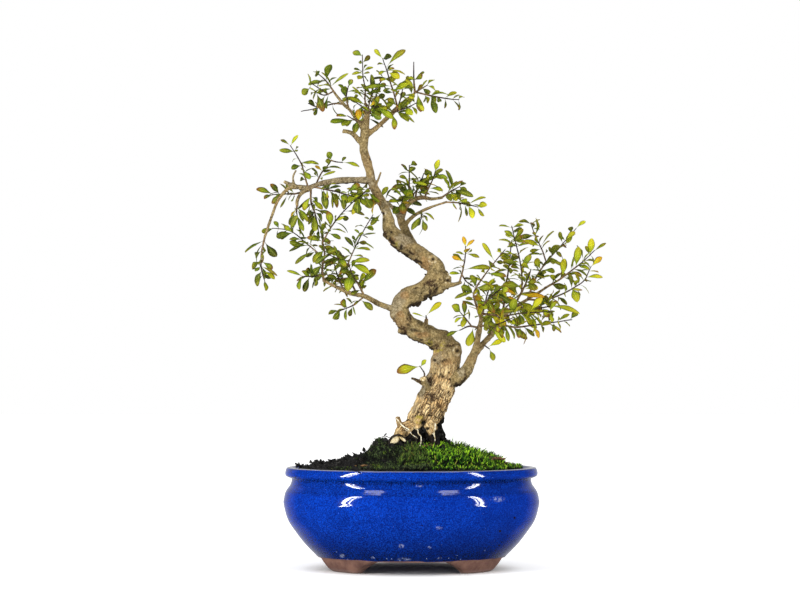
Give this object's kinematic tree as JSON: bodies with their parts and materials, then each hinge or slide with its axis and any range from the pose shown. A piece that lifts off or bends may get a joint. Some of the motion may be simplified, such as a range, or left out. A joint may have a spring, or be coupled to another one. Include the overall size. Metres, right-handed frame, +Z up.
{
  "type": "pomegranate bonsai",
  "caption": "Dwarf pomegranate bonsai with an S-curved trunk, airy limbs with small narrow leaves, a mossy soil mound and an oval blue-glazed pot on clay feet.",
  "frame": {"origin": "centre of the object's box at floor level, on the plane that the pot's feet stand on", "axes": "+Z up, +X along the pot's long axis towards the lowest big limb, -Y towards the front"},
  "size_m": [0.288, 0.1608, 0.4164],
  "materials": {
    "glaze": "gloss",
    "drain_mesh": "matte",
    "soil": "matte",
    "moss": "matte",
    "olive_moss": "matte",
    "bark": "matte",
    "leaf": "satin"
  },
  "bodies": {
    "root": {"drain_mesh_left": "drain_mesh", "drain_mesh_right": "drain_mesh", "moss_bright": "moss", "moss_olive": "olive_moss", "pot": "glaze", "soil": "soil", "spray_crown_back": "leaf", "spray_crown_basal_left": "leaf", "spray_crown_basal_right": "leaf", "spray_crown_inner": "leaf", "spray_crown_leader": "leaf", "spray_crown_left_spur": "leaf", "spray_crown_left_tip": "leaf", "spray_crown_mid": "leaf", "spray_crown_mid_side": "leaf", "spray_crown_right_low": "leaf", "spray_crown_right_tip": "leaf", "spray_knot_rise": "leaf", "spray_left_droop_end": "leaf", "spray_left_hang": "leaf", "spray_left_inner": "leaf", "spray_left_tip": "leaf", "spray_left_top": "leaf", "spray_left_under": "leaf", "spray_left_up": "leaf", "spray_low_left_back": "leaf", "spray_low_left_mid": "leaf", "spray_low_left_outer": "leaf", "spray_low_left_rise": "leaf", "spray_low_left_under": "leaf", "spray_low_stub_leaf": "leaf", "spray_mid_back": "leaf", "spray_mid_front": "leaf", "spray_mid_low_drop": "leaf", "spray_mid_low_tip": "leaf", "spray_mid_peg_leaf": "leaf", "spray_mid_rise_a": "leaf", "spray_mid_rise_b": "leaf", "spray_mid_rod": "leaf", "spray_mid_stub_leaves": "leaf", "spray_mid_tip": "leaf", "spray_right_back_inner": "leaf", "spray_right_back_low": "leaf", "spray_right_centre": "leaf", "spray_right_centre_back": "leaf", "spray_right_fork_leaves": "leaf", "spray_right_front_low": "leaf", "spray_right_front_mid": "leaf", "spray_right_front_tip": "leaf", "spray_right_high": "leaf", "spray_right_inner": "leaf", "spray_right_inner_low": "leaf", "spray_right_lower": "leaf", "spray_right_tip": "leaf", "spray_trunk_bend_leaf": "leaf", "spray_trunk_left": "leaf", "trunk": "bark"}
  },
  "joints": []
}
